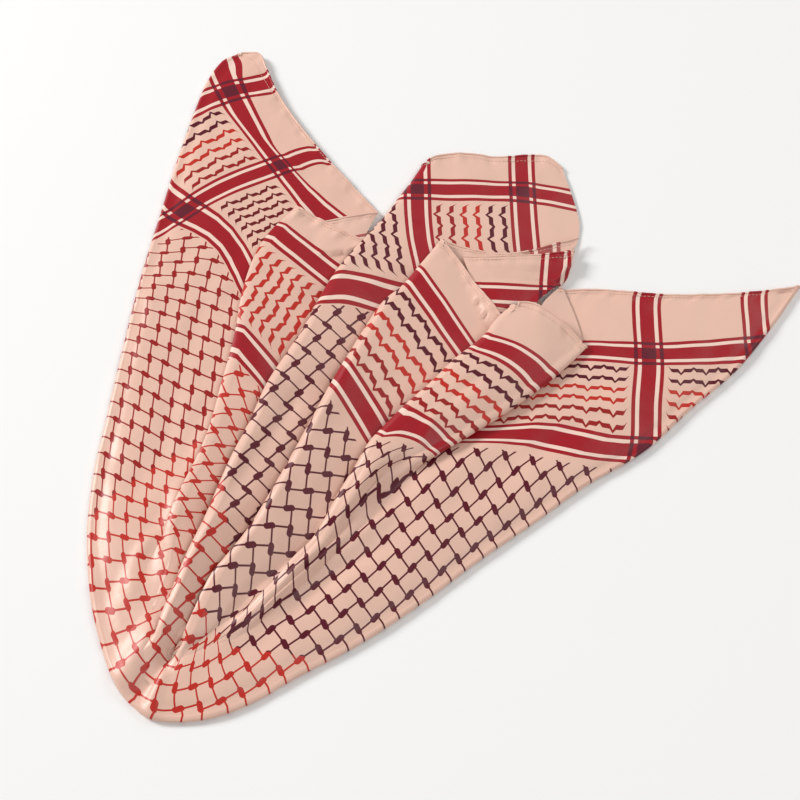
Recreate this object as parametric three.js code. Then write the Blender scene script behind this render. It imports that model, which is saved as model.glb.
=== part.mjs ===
// Square satin hijab, folded once along its diagonal, gathered into pleats that fan from a turned
// lower left corner, and dropped flat. Millimetres, Z up, seen from -Y. Each stretch of cloth that
// shows is a thin wall; the layers below them share one rounded body with a flat underside.
import * as THREE from "three";

const CLOTH = 1.2;
const GAP = 0.45;
const HEM_THICK = 2.0;
const HEM_WIDTH = 4;
const ROLL_REACH = 4;
const FLOOR_ROLL_REACH = 2.6;
const ROLL_SHARE = 0.22;
const ROLL_DEGREES = [-80, -45, 0, 45];
const LEAST_ROLL = 1.8;
const EDGE_SUPPORT = 2;
const UNDER_TURN = 6;
const TURN_SHARE = 0.3;
const RIDGE_EASE = 0.85;
const FLOOR_EASE = 0.8;
const HEM_SHARE = 0.4;
const ACROSS = 7;
const CORE_CELL = 11;
const CORE_SET_BACK = 8;
const CORE_LAYERS = 3;
const CORE_STEP = 0.8;
const CORE_LEAST = 1.1;
const CORE_OPEN = 2.4;
const CORE_MARGIN = 0.35;
const CORE_REACH = 0.8;
const PROBE = 2;
const PROBE_HALF = 330;
const PROBE_REACH = 3;
const PROBE_FINE = 0.7;
const FACE_COLOUR = 0xe4c0b0;
const PLEAT_COLOUR = 0xe8c6b6;
const FRONT_COLOUR = 0xeccdbd;
const RETURN_COLOUR = 0xd6b0a0;

// Section tables run from the turned corner to the hem. Columns: left edge x, y and crown height,
// right edge x, y and height, swell of the middle.
const LEFT_PANEL = [
  [-218.5, -308, 3, -214.5, -264, 4, 1],
  [-234, -299, 3, -218, -260, 5, 2],
  [-250, -281, 3, -222, -256, 6, 2],
  [-264, -249, 3, -228, -244, 7, 2],
  [-275, -212, 3, -227, -205, 8, 2],
  [-282, -164, 3, -212, -152, 9, 3],
  [-282, -115, 3, -195, -114, 8, 3],
  [-277, -67, 3, -184, -68, 7, 3],
  [-271, -9, 3, -173, -18, 6, 3],
  [-263, 58, 3, -156, 42, 5, 3],
  [-252, 124, 3, -124, 66, 4, 3],
  [-243, 177, 3, -96, 84, 4, 3],
  [-233, 226, 3, -80, 101, 4, 2],
  [-223, 268, 3, -72, 115, 3, 2],
  [-210, 295, 3, -69, 121, 3, 2],
  [-192, 308, 2, -67, 125, 3, 1],
];
const RIGHT_PANEL = [
  [-213, -264, 4, -217, -308, 3, 1],
  [-203, -257, 5, -184, -307, 3, 1],
  [-188, -251, 6, -153, -296, 3, 2],
  [-163, -240, 7, -119, -276, 3, 3],
  [-139, -221, 8, -77, -253, 3, 4],
  [-112, -196, 9, -33, -223, 3, 4],
  [-86, -166, 9, 11, -189, 3, 4],
  [-60, -134, 9, 57, -156, 3, 4],
  [-28, -106, 8, 93, -129, 3, 4],
  [6, -80, 8, 141, -99, 3, 3],
  [34, -48, 7, 182, -61, 3, 3],
  [50, -18, 6, 219, -29, 3, 2],
  [62, 16, 5, 252, 10, 3, 2],
  [84, 46, 4, 282, 51, 2, 1],
];
const INNER_LEFT_PLEAT = [
  [-248, -271, 9, -236, -268, 8, 0],
  [-243, -240, 12, -214, -240, 9, 1],
  [-236, -205, 15, -199, -202, 10, 2],
  [-227, -174, 16, -188, -168, 11, 2],
  [-213, -136, 16, -174, -134, 11, 2],
  [-197, -91, 15, -160, -94, 10, 2],
  [-189, -47, 14, -146, -54, 9, 2],
  [-181, 0, 13, -129, -14, 8, 2],
  [-176, 48, 12, -106, 30, 8, 2],
  [-163, 92, 11, -86, 71, 7, 2],
  [-137, 128, 9, -66, 88, 7, 1],
];
const MIDDLE_PLEAT = [
  [-240, -269, 11, -217, -288, 7, 0],
  [-232, -256, 13, -212, -275, 8, 1],
  [-223, -243, 16, -204, -259, 9, 1],
  [-214, -219, 19, -190, -237, 10, 2],
  [-204, -189, 21, -177, -208, 11, 2],
  [-192, -158, 22, -155, -176, 12, 2],
  [-177, -113, 22, -136, -138, 12, 2],
  [-164, -80, 21, -119, -105, 12, 2],
  [-151, -43, 20, -104, -69, 11, 2],
  [-129, 0, 18, -82, -28, 10, 2],
  [-102, 60, 15, -44, 30, 8, 2],
  [-77, 95, 13, 4, 62, 6, 2],
  [-62, 118, 12, 47, 64, 5, 2],
  [-48, 141, 11, 87, 76, 4, 2],
  [-38, 158, 9, 104, 112, 3, 2],
  [-29, 175, 7, 93, 173, 4, 1],
];
const RIGHT_PLEAT = [
  [-217, -284, 11, -205, -274, 8, 0],
  [-213, -266, 12, -189, -261, 9, 1],
  [-204, -252, 14, -175, -249, 10, 1],
  [-198, -237, 16, -162, -238, 10, 2],
  [-186, -207, 20, -143, -220, 11, 2],
  [-172, -187, 22, -122, -198, 12, 2],
  [-158, -166, 23, -104, -174, 12, 2],
  [-138, -126, 23, -85, -141, 12, 2],
  [-122, -91, 22, -69, -111, 12, 2],
  [-102, -46, 21, -48, -85, 12, 2],
  [-86, -14, 20, -29, -63, 12, 2],
  [-64, 27, 19, -5, -41, 12, 2],
  [-47, 45, 18, 13, -23, 12, 2],
  [-32, 66, 17, 26, -6, 12, 2],
  [-14, 91, 15, 34, 15, 13, 1],
];
const FRONT_PLEAT = [
  [-207, -265, 11, -205, -271, 10, 0],
  [-190, -252, 13, -186, -264, 12, 0],
  [-173, -238, 15, -169, -256, 13, 1],
  [-156, -225, 16, -152, -245, 14, 1],
  [-139, -208, 17, -134, -229, 15, 1],
  [-125, -190, 18, -110, -209, 15, 2],
  [-113, -177, 19, -96, -193, 16, 2],
  [-103, -159, 20, -80, -176, 16, 2],
  [-93, -138, 21, -67, -159, 17, 2],
  [-83, -120, 22, -50, -136, 17, 3],
  [-72, -99, 23, -31, -119, 17, 3],
  [-59, -83, 23, -11, -103, 17, 3],
  [-43, -65, 23, 9, -89, 17, 3],
  [-24, -46, 23, 31, -74, 17, 3],
  [-7, -27, 23, 52, -58, 17, 3],
  [16, -6, 22, 73, -40, 16, 3],
  [29, 11, 21, 88, -25, 14, 3],
  [41, 24, 20, 101, -11, 11, 3],
];
const LEFT_RETURN = [
  [-112, 86, 8, -80, 92, 7, 0],
  [-112, 98, 8, -74, 107, 7, 1],
  [-111, 113, 8, -67, 123, 6, 1],
];
const CORNER_RETURN = [
  [-2, 58, 9, 76, 58, 8, 0],
  [-8, 69, 9, 86, 70, 8, 1],
  [-14, 93, 9, 102, 97, 7, 1],
];
const CORNER_FLAP = [
  [30, 12, 13, 58, 18, 5, 0],
  [22, 30, 13, 65, 34, 5, 1],
  [14, 46, 13, 79, 47, 5, 1],
  [8, 60, 13, 91, 60, 6, 2],
  [4, 75, 12, 97, 82, 9, 1],
];
const TAIL_RETURN = [
  [72, 0, 8, 99, -13, 8, 0],
  [66, 20, 8, 97, 5, 8, 0],
  [69, 33, 8, 93, 24, 7, 0],
  [82, 47, 7, 86, 47, 6, 0],
];

// Plan shape of the hems that are not straight, left to right, x and y.
const LEFT_TAIL_HEM = [[-192, 308], [-167, 273], [-141, 233], [-116, 192], [-91, 157], [-67, 125]];
const LEFT_RETURN_HEM = [[-111, 113], [-67, 123]];
const INNER_LEFT_HEM = [[-137, 128], [-120, 118], [-103, 107], [-80, 94], [-66, 88]];
const TAIL_RETURN_HEM = [[82, 47], [86, 47]];
const TOP_CORNER_HEM = [
  [-29, 175], [-13, 184], [13, 186], [39, 183], [64, 186], [80, 185], [93, 173],
];
const CORNER_RETURN_HEM = [[-14, 93], [18, 82], [43, 80], [68, 85], [85, 91], [102, 97]];
const CORNER_FLAP_HEM = [[4, 75], [22, 74], [47, 76], [65, 77], [97, 82]];
const RIGHT_HEM = [[-14, 91], [0, 70], [12, 49], [26, 28], [34, 15]];
const FRONT_HEM = [[41, 24], [56, 25], [73, 16], [87, 4], [101, -11]];
const RIGHT_TAIL_HEM = [[84, 46], [116, 47], [165, 42], [215, 42], [256, 46], [282, 51]];

// Outline of the hidden layers, anticlockwise from the turned corner, x and y.
const CORE_OUTLINE = [
  [-217, -308], [-184, -307], [-153, -296], [-119, -276], [-77, -253], [-33, -223], [11, -189],
  [57, -156], [93, -129], [141, -99], [182, -61], [219, -29], [250, 8], [266, 36], [240, 45],
  [215, 42], [165, 42], [116, 46], [94, 43], [76, 36], [70, 36], [82, 49], [94, 64], [101, 90],
  [103, 120], [98, 150], [88, 172], [70, 182], [39, 181], [13, 182], [-10, 180], [-27, 172], [-48, 140],
  [-62, 118], [-72, 112], [-80, 122], [-91, 150], [-116, 187], [-141, 228], [-167, 268],
  [-190, 300], [-208, 293], [-223, 268], [-233, 226], [-243, 177], [-252, 124], [-263, 58],
  [-271, -9], [-277, -67], [-282, -115], [-282, -164], [-275, -212], [-264, -249], [-250, -281],
  [-234, -299],
];

const PROBE_SIDE = Math.round((2 * PROBE_HALF) / PROBE) + 1;
const topOf = new Float32Array(PROBE_SIDE * PROBE_SIDE).fill(0);
const underOf = new Float32Array(PROBE_SIDE * PROBE_SIDE).fill(Infinity);

const mix = (a, b, t) => a + (b - a) * t;
const probeIndex = (value) => Math.round((value + PROBE_HALF) / PROBE);

function searchProbe(grid, x, y, reach, better, start) {
  const column = probeIndex(x);
  const row = probeIndex(y);
  let found = start;
  for (let j = row - reach; j <= row + reach; j++) {
    for (let i = column - reach; i <= column + reach; i++) {
      if (i < 0 || j < 0 || i >= PROBE_SIDE || j >= PROBE_SIDE) continue;
      found = better(found, grid[j * PROBE_SIDE + i]);
    }
  }
  return found;
}

const supportAt = (x, y) => searchProbe(topOf, x, y, PROBE_REACH, Math.max, 0);

function catmull(a, b, c, d, t) {
  const cubic = -a + 3 * b - 3 * c + d;
  const square = 2 * a - 5 * b + 4 * c - d;
  return 0.5 * (2 * b + (c - a) * t + square * t * t + cubic * t * t * t);
}

function sampleRows(rows, t) {
  const last = rows.length - 1;
  const at = Math.min(Math.floor(t), last - 1);
  const pick = (i) => rows[Math.max(0, Math.min(last, i))];
  return rows[0].map((_, k) =>
    catmull(pick(at - 1)[k], pick(at)[k], pick(at + 1)[k], pick(at + 2)[k], t - at),
  );
}

function samplePath(path, s) {
  const lengths = [0];
  for (let i = 1; i < path.length; i++) {
    lengths.push(lengths[i - 1] + Math.hypot(path[i][0] - path[i - 1][0], path[i][1] - path[i - 1][1]));
  }
  const target = s * lengths[lengths.length - 1];
  let i = 0;
  while (i < path.length - 2 && lengths[i + 1] < target) i++;
  return sampleRows(path, i + (target - lengths[i]) / (lengths[i + 1] - lengths[i]));
}

// Points of a rounded fold edge, from its underside round to its crown, as reach inwards and rise.
function rollPoints(reach, low, high) {
  const rise = (high - low) / 2;
  return ROLL_DEGREES.map((degrees) => {
    const angle = (degrees * Math.PI) / 180;
    return [reach * (1 - Math.cos(angle)), low + rise * (1 + Math.sin(angle))];
  });
}

function stations(rows, perRow, hasHem) {
  const last = rows.length - 1;
  const list = [];
  for (let i = 0; i < last * perRow; i++) list.push(i / perRow);
  if (hasHem) {
    const a = rows[last - 1];
    const b = rows[last];
    const leftSide = Math.hypot(b[0] - a[0], b[1] - a[1]);
    const rightSide = Math.hypot(b[3] - a[3], b[4] - a[4]);
    list.push(last - Math.min(HEM_SHARE, (2 * HEM_WIDTH) / (leftSide + rightSide)));
  }
  list.push(last);
  return list;
}

// Middle surface of one stretch as rows of points. Edge kinds: "ridge" rolls over onto the layer
// below, "floor" rolls under onto the surface, "plain" just ends below the next stretch.
function middleSurface(rows, options) {
  const { left, right, hem, perRow = 1, across = ACROSS } = options;
  const last = rows.length - 1;
  return stations(rows, perRow, Boolean(hem)).map((t) => {
    const [lx, ly, lz, rx, ry, rz, swell] = sampleRows(rows, t);
    const width = Math.hypot(rx - lx, ry - ly);
    const inward = [(rx - lx) / width, (ry - ly) / width];
    const weight = hem ? Math.max(0, t - last + 1) : 0;
    const plan = (s) => {
      const x = mix(lx, rx, s);
      const y = mix(ly, ry, s);
      if (weight === 0) return [x, y];
      const [hemX, hemY] = samplePath(hem, s);
      const end = rows[last];
      const straightX = mix(end[0], end[3], s);
      const straightY = mix(end[1], end[4], s);
      return [x + weight * (hemX - straightX), y + weight * (hemY - straightY)];
    };
    const rest = (x, y) => supportAt(x, y) + GAP + CLOTH / 2;
    const points = [];
    const addRoll = (side, kind, high) => {
      const sign = side === "left" ? 1 : -1;
      const reachLimit = kind === "floor" ? FLOOR_ROLL_REACH : ROLL_REACH;
      const reach = Math.min(reachLimit, width * ROLL_SHARE);
      const base = plan(side === "left" ? 0 : 1);
      const inside = inward.map((value, axis) => base[axis] + sign * value * EDGE_SUPPORT);
      const low = kind === "floor" ? CLOTH / 2 : rest(...inside);
      const crown = Math.max(high, low + LEAST_ROLL);
      const roll = rollPoints(reach, low, crown).map(([back, z]) => [
        base[0] + sign * inward[0] * back,
        base[1] + sign * inward[1] * back,
        z,
      ]);
      if (kind === "floor") {
        const turn = Math.min(UNDER_TURN, width * TURN_SHARE);
        roll.unshift([base[0] + sign * inward[0] * turn, base[1] + sign * inward[1] * turn, low]);
      }
      return { roll, crown, reach };
    };
    let leftHeight = lz;
    let rightHeight = rz;
    let from = 0;
    let to = 1;
    let closing = [];
    if (left !== "plain") {
      const made = addRoll("left", left, lz);
      points.push(...made.roll);
      leftHeight = made.crown;
      from = made.reach / width;
    }
    if (right !== "plain") {
      const made = addRoll("right", right, rz);
      closing = made.roll.reverse();
      rightHeight = made.crown;
      to = 1 - made.reach / width;
    }
    for (let k = 0; k <= across; k++) {
      const part = k / across;
      const s = mix(from, to, part);
      const [x, y] = plan(s);
      const ease = left === "ridge" && right === "plain" ? Math.pow(part, RIDGE_EASE) : part;
      const fromFold = right === "floor" ? 1 - part : part;
      const lean = left === "floor" || right === "floor" ? Math.pow(fromFold, FLOOR_EASE) : part;
      const z = mix(leftHeight, rightHeight, ease) + swell * Math.sin(Math.PI * lean);
      points.push([x, y, Math.max(z, rest(x, y))]);
    }
    points.push(...closing);
    return points;
  });
}

function normalsOf(grid) {
  const rows = grid.length;
  const columns = grid[0].length;
  const within = (value, count) => Math.max(0, Math.min(count - 1, value));
  const at = (j, i) => new THREE.Vector3(...grid[within(j, rows)][within(i, columns)]);
  return grid.map((row, j) =>
    row.map((_, i) => {
      const along = at(j + 1, i).sub(at(j - 1, i));
      const across = at(j, i + 1).sub(at(j, i - 1));
      return across.cross(along).normalize();
    }),
  );
}

// Closed wall round a middle surface, thicker along the hem at the last two rows.
function wallGeometry(grid, hasHem) {
  const rows = grid.length;
  const columns = grid[0].length;
  const normals = normalsOf(grid);
  const positions = [];
  for (const side of [1, -1]) {
    for (let j = 0; j < rows; j++) {
      const thick = hasHem && j >= rows - 2 ? HEM_THICK : CLOTH;
      for (let i = 0; i < columns; i++) {
        const bead = side > 0 ? (thick - CLOTH) * Math.max(0, normals[j][i].z) : 0;
        const lift = CLOTH / 2 + bead;
        const point = new THREE.Vector3(...grid[j][i]).addScaledVector(normals[j][i], side * lift);
        positions.push(point.x, point.y, point.z);
      }
    }
  }
  const index = [];
  const under = rows * columns;
  const id = (j, i) => j * columns + i;
  const quad = (a, b, c, d) => index.push(a, b, c, a, c, d);
  for (let j = 0; j < rows - 1; j++) {
    for (let i = 0; i < columns - 1; i++) {
      quad(id(j, i), id(j, i + 1), id(j + 1, i + 1), id(j + 1, i));
      quad(under + id(j, i), under + id(j + 1, i), under + id(j + 1, i + 1), under + id(j, i + 1));
    }
    quad(id(j, 0), id(j + 1, 0), under + id(j + 1, 0), under + id(j, 0));
    const near = id(j, columns - 1);
    const far = id(j + 1, columns - 1);
    quad(far, near, under + near, under + far);
  }
  for (let i = 0; i < columns - 1; i++) {
    const end = id(rows - 1, i);
    quad(id(0, i + 1), id(0, i), under + id(0, i), under + id(0, i + 1));
    quad(end, end + 1, under + end + 1, under + end);
  }
  const geometry = new THREE.BufferGeometry();
  geometry.setAttribute("position", new THREE.Float32BufferAttribute(positions, 3));
  geometry.setIndex(index);
  geometry.computeVertexNormals();
  return geometry;
}

// Note the heights of a finished wall, so that the next one rests on it and the core stays below.
function recordHeights(geometry) {
  const position = geometry.getAttribute("position");
  const index = geometry.getIndex();
  const corner = [0, 1, 2].map(() => new THREE.Vector3());
  for (let f = 0; f < index.count; f += 3) {
    corner.forEach((point, k) => point.fromBufferAttribute(position, index.getX(f + k)));
    const longest = Math.max(...corner.map((point, k) => point.distanceTo(corner[(k + 1) % 3])));
    const steps = Math.max(1, Math.ceil(longest / (PROBE * PROBE_FINE)));
    for (let a = 0; a <= steps; a++) {
      for (let b = 0; a + b <= steps; b++) {
        const wa = a / steps;
        const wb = b / steps;
        const wc = 1 - wa - wb;
        const x = corner[0].x * wa + corner[1].x * wb + corner[2].x * wc;
        const y = corner[0].y * wa + corner[1].y * wb + corner[2].y * wc;
        const z = corner[0].z * wa + corner[1].z * wb + corner[2].z * wc;
        const cell = probeIndex(y) * PROBE_SIDE + probeIndex(x);
        topOf[cell] = Math.max(topOf[cell], z);
        underOf[cell] = Math.min(underOf[cell], z);
      }
    }
  }
}

function insetLoop(loop, distance) {
  const count = loop.length;
  return loop.map(([x, y], i) => {
    const before = loop[(i + count - 1) % count];
    const after = loop[(i + 1) % count];
    const length = Math.hypot(after[0] - before[0], after[1] - before[1]);
    const normal = [-(after[1] - before[1]) / length, (after[0] - before[0]) / length];
    return [x + normal[0] * distance, y + normal[1] * distance];
  });
}

function isInside(loop, x, y) {
  let inside = false;
  for (let i = 0, j = loop.length - 1; i < loop.length; j = i++) {
    const [ax, ay] = loop[i];
    const [bx, by] = loop[j];
    if (ay > y !== by > y && x < ((bx - ax) * (y - ay)) / (by - ay) + ax) inside = !inside;
  }
  return inside;
}

function nearestOn(loop, x, y) {
  let best = null;
  let least = Infinity;
  for (let i = 0; i < loop.length; i++) {
    const [ax, ay] = loop[i];
    const [bx, by] = loop[(i + 1) % loop.length];
    const dx = bx - ax;
    const dy = by - ay;
    const t = Math.max(0, Math.min(1, ((x - ax) * dx + (y - ay) * dy) / (dx * dx + dy * dy)));
    const distance = Math.hypot(ax + dx * t - x, ay + dy * t - y);
    if (distance < least) {
      least = distance;
      best = [ax + dx * t, ay + dy * t];
    }
  }
  return best;
}

// One rounded body for the hidden layers: flat below, stepped like stacked cloth at the side, and
// kept just below every wall above it.
function coreGeometry() {
  const loop = insetLoop(CORE_OUTLINE, CORE_SET_BACK);
  const half = Math.ceil(PROBE_HALF / CORE_CELL);
  const used = new Set();
  const key = (i, j) => `${i},${j}`;
  for (let j = -half; j < half; j++) {
    for (let i = -half; i < half; i++) {
      if (isInside(loop, (i + 0.5) * CORE_CELL, (j + 0.5) * CORE_CELL)) used.add(key(i, j));
    }
  }
  const positions = [];
  const index = [];
  const topIds = new Map();
  const lowIds = new Map();
  const planOf = new Map();
  const around = [[-1, -1], [0, -1], [0, 0], [-1, 0]];
  const touching = (i, j) => around.map(([a, b]) => used.has(key(i + a, j + b)));
  const planPoint = (i, j) => {
    if (!planOf.has(key(i, j))) {
      const x = i * CORE_CELL;
      const y = j * CORE_CELL;
      planOf.set(key(i, j), touching(i, j).every(Boolean) ? [x, y] : nearestOn(loop, x, y));
    }
    return planOf.get(key(i, j));
  };
  const reach = Math.ceil((CORE_CELL * CORE_REACH) / PROBE);
  const heightAt = (x, y) => {
    const lowest = searchProbe(underOf, x, y, reach, Math.min, Infinity);
    const ceiling = Number.isFinite(lowest) ? lowest : CORE_OPEN;
    return Math.max(CORE_LEAST, ceiling - GAP - CORE_MARGIN);
  };
  const addPoint = (x, y, z) => positions.push(x, y, z) / 3 - 1;
  const idOf = (map, i, j, z) => {
    if (!map.has(key(i, j))) {
      const [x, y] = planPoint(i, j);
      map.set(key(i, j), addPoint(x, y, z === null ? heightAt(x, y) : z));
    }
    return map.get(key(i, j));
  };
  const rimEdges = [];
  for (const cell of used) {
    const [i, j] = cell.split(",").map(Number);
    const top = [[i, j], [i + 1, j], [i + 1, j + 1], [i, j + 1]];
    const a = top.map(([p, q]) => idOf(topIds, p, q, null));
    index.push(a[0], a[1], a[2], a[0], a[2], a[3]);
    const sides = [[i, j - 1], [i + 1, j], [i, j + 1], [i - 1, j]];
    sides.forEach(([p, q], k) => {
      if (!used.has(key(p, q))) rimEdges.push([top[k], top[(k + 1) % 4]]);
    });
  }
  const centre = (i, j) => {
    const [x, y] = planPoint(i, j);
    const near = touching(i, j);
    const offsets = [[-1, -1], [1, -1], [1, 1], [-1, 1]];
    let dx = 0;
    let dy = 0;
    near.forEach((filled, k) => {
      if (filled) {
        dx += offsets[k][0];
        dy += offsets[k][1];
      }
    });
    const length = Math.hypot(dx, dy) || 1;
    return [x, y, dx / length, dy / length];
  };
  const rings = new Map();
  const ringOf = (i, j) => {
    if (!rings.has(key(i, j))) {
      const [x, y, dx, dy] = centre(i, j);
      const top = positions[3 * topIds.get(key(i, j)) + 2];
      const ids = [idOf(lowIds, i, j, 0)];
      for (let layer = 1; layer < CORE_LAYERS; layer++) {
        const z = (top * layer) / CORE_LAYERS;
        const step = layer % 2 === 1 ? CORE_STEP : 0;
        ids.push(addPoint(x + dx * step, y + dy * step, z));
      }
      ids.push(topIds.get(key(i, j)));
      rings.set(key(i, j), ids);
    }
    return rings.get(key(i, j));
  };
  const following = new Map();
  for (const [from, to] of rimEdges) {
    const a = ringOf(...from);
    const b = ringOf(...to);
    for (let k = 0; k < CORE_LAYERS; k++) index.push(a[k], b[k], b[k + 1], a[k], b[k + 1], a[k + 1]);
    following.set(key(...from), to);
  }
  const rim = [rimEdges[0][0]];
  for (let next = following.get(key(...rim[0])); key(...next) !== key(...rim[0]); ) {
    rim.push(next);
    next = following.get(key(...next));
  }
  const rimPlan = rim.map(([i, j]) => new THREE.Vector2(...planPoint(i, j)));
  for (const face of THREE.ShapeUtils.triangulateShape(rimPlan, [])) {
    const [a, b, c] = face.map((k) => lowIds.get(key(...rim[k])));
    index.push(a, c, b);
  }
  const geometry = new THREE.BufferGeometry();
  geometry.setAttribute("position", new THREE.Float32BufferAttribute(positions, 3));
  geometry.setIndex(index);
  geometry.computeVertexNormals();
  return geometry;
}

const part = new THREE.Group();
part.name = "square_silk_hijab";

function addNode(name, geometry, color) {
  const material = new THREE.MeshStandardMaterial({ name: `${name}_cloth`, color, roughness: 0.4 });
  const mesh = new THREE.Mesh(geometry, material);
  mesh.name = name;
  part.add(mesh);
}

function addStretch(name, rows, options, color) {
  const geometry = wallGeometry(middleSurface(rows, options), Boolean(options.hem));
  recordHeights(geometry);
  addNode(name, geometry, color);
}

const bothPlain = { left: "plain", right: "plain" };
const foldedLeft = { left: "ridge", right: "plain" };

// Laid from the bottom of the pile upwards.
addStretch(
  "left_panel", LEFT_PANEL,
  { left: "floor", right: "plain", hem: LEFT_TAIL_HEM, across: 8 }, FACE_COLOUR,
);
addStretch("left_return", LEFT_RETURN, { ...bothPlain, hem: LEFT_RETURN_HEM, across: 4 }, RETURN_COLOUR);
addStretch("inner_left_pleat", INNER_LEFT_PLEAT, { ...foldedLeft, hem: INNER_LEFT_HEM }, PLEAT_COLOUR);
addStretch(
  "right_panel", RIGHT_PANEL,
  { left: "plain", right: "floor", hem: RIGHT_TAIL_HEM, across: 9 }, FACE_COLOUR,
);
addStretch("tail_return", TAIL_RETURN, { ...bothPlain, hem: TAIL_RETURN_HEM, across: 3 }, RETURN_COLOUR);
addStretch("middle_pleat", MIDDLE_PLEAT, { ...foldedLeft, hem: TOP_CORNER_HEM, across: 8 }, PLEAT_COLOUR);
addStretch(
  "corner_return", CORNER_RETURN, { ...bothPlain, hem: CORNER_RETURN_HEM, across: 8 }, RETURN_COLOUR,
);
addStretch(
  "corner_flap", CORNER_FLAP,
  { left: "plain", right: "ridge", hem: CORNER_FLAP_HEM, across: 6 }, FRONT_COLOUR,
);
addStretch("right_pleat", RIGHT_PLEAT, { ...foldedLeft, hem: RIGHT_HEM }, PLEAT_COLOUR);
addStretch("front_pleat", FRONT_PLEAT, { left: "ridge", right: "ridge", hem: FRONT_HEM }, FRONT_COLOUR);
addNode("hidden_layers", coreGeometry(), RETURN_COLOUR);

export default part;
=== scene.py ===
"""Looks of the square satin hijab: folded on its diagonal, pleated and dropped flat."""
import math
from dataclasses import dataclass

import bpy
import numpy as np
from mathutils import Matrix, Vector
from mathutils.kdtree import KDTree


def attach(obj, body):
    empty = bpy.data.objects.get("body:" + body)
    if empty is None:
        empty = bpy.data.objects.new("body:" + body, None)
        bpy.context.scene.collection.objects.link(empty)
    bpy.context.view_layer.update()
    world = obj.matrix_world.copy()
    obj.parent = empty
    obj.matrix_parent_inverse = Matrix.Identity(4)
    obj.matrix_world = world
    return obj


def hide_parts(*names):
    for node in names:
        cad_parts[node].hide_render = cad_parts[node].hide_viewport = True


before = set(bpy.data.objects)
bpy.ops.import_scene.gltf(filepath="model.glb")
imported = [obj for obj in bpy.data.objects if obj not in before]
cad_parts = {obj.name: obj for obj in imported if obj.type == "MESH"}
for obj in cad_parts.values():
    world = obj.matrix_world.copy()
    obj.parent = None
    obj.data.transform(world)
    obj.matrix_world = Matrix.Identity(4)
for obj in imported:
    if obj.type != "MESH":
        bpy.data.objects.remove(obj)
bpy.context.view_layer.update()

MM = 0.001
MM_PER_CM = 10
CM_PER_M = 100
SQUARE_CM = 90.0

# The shell, the rolls at its folds and the ways it meets the cloth below.
SHEET_MM = 0.5
GAP_MM = 0.35
ROLL_MM = 7.5
FLOOR_ROLL_MM = 4.5
LEAST_ROLL_MM = 1.2
ROLL_POINTS = 14
ROLL_START = math.radians(-85)
ROLL_TURN = math.radians(165)
ROLL_WIDTH_SHARE = 0.22
UNDER_TURN_MM = 7.0
UNDER_WIDTH_SHARE = 0.3
RIM_RISE_MM = 2.0
RIM_TROUGH_MM = 0.8
RIM_TROUGH_IN_MM = 9.5
RIM_TROUGH_WIDE_MM = 4.5
MERGE_MM = 20.0
MERGE_WIDTH_SHARE = 0.45
MERGE_FROM = 0.4
VALLEY_MM = 6.0
LOWEST_VALLEY_MM = 2.0
VALLEY_POWER = 1.15
FLOOR_SWELL_POWER = 0.8
SUNK_MM = 0.6
REST_MM = 0.25
DEEPEST_MM = 6.0
FACES_UP = 0.3
INNER_SHARE = 0.4

# The fine grid and the probe for heights.
STEP_ALONG_MM = 3.0
STEP_ACROSS_MM = 2.5
SIDE_LENGTH_SHARE = 0.8
HEM_STEP_MM = 0.8
HEM_FINE_MM = 9.0
PROBE_MM = 2.0
PROBE_HALF_MM = 330.0
PROBE_REACH = 2

# Hems and their stitches.
HEM_FOLD_MM = 5.0
HEM_DOUBLE_MM = 0.45
HEM_TUBE_MM = 0.95
TUBE_WOBBLE = 0.12
TUBE_WOBBLE_TURN = 1.9
TUBE_FLATNESS = 0.8
STITCH_IN_MM = 1.2
STITCH_STEP_MM = 3.2
STITCH_LONG_MM = 1.9
STITCH_RADIUS_MM = 0.22
STITCH_ENDS_UP_MM = 0.05
GROOVE_MM = 0.6
GROOVE_WIDE_MM = 0.6
PUCKER_MM = 0.36
PUCKER_WIDE_MM = 5.0

# How the print is laid over a stretch.
FOLD_PAST_CM = (1.7, -1.0)
TANGENT_SPAN_MM = 55.0
FOLD_COLUMN = 4
PRINT_OWN = 0.45
ROLL_SEEN = 9
SETTLE_ROWS = 48
SETTLE_COLUMNS = 10
STIFFNESS = 0.6
TENSION = 0.25
LEAST_STEP_CM = 0.3
CARRY_STEPS = 3
TRACE = 0.001
NUDGE = 1e-6
TINY = 1e-9

# How far a crease fades past its ends, and how it widens from start to end, as shares.
CREASE_PAST = 0.12
CREASE_FADE = 0.35
CREASE_START_WIDTH = 0.7
CREASE_WIDENS = 0.6
SLOW_UNEVEN_MM = 0.55
FAST_UNEVEN_MM = 0.14

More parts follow.
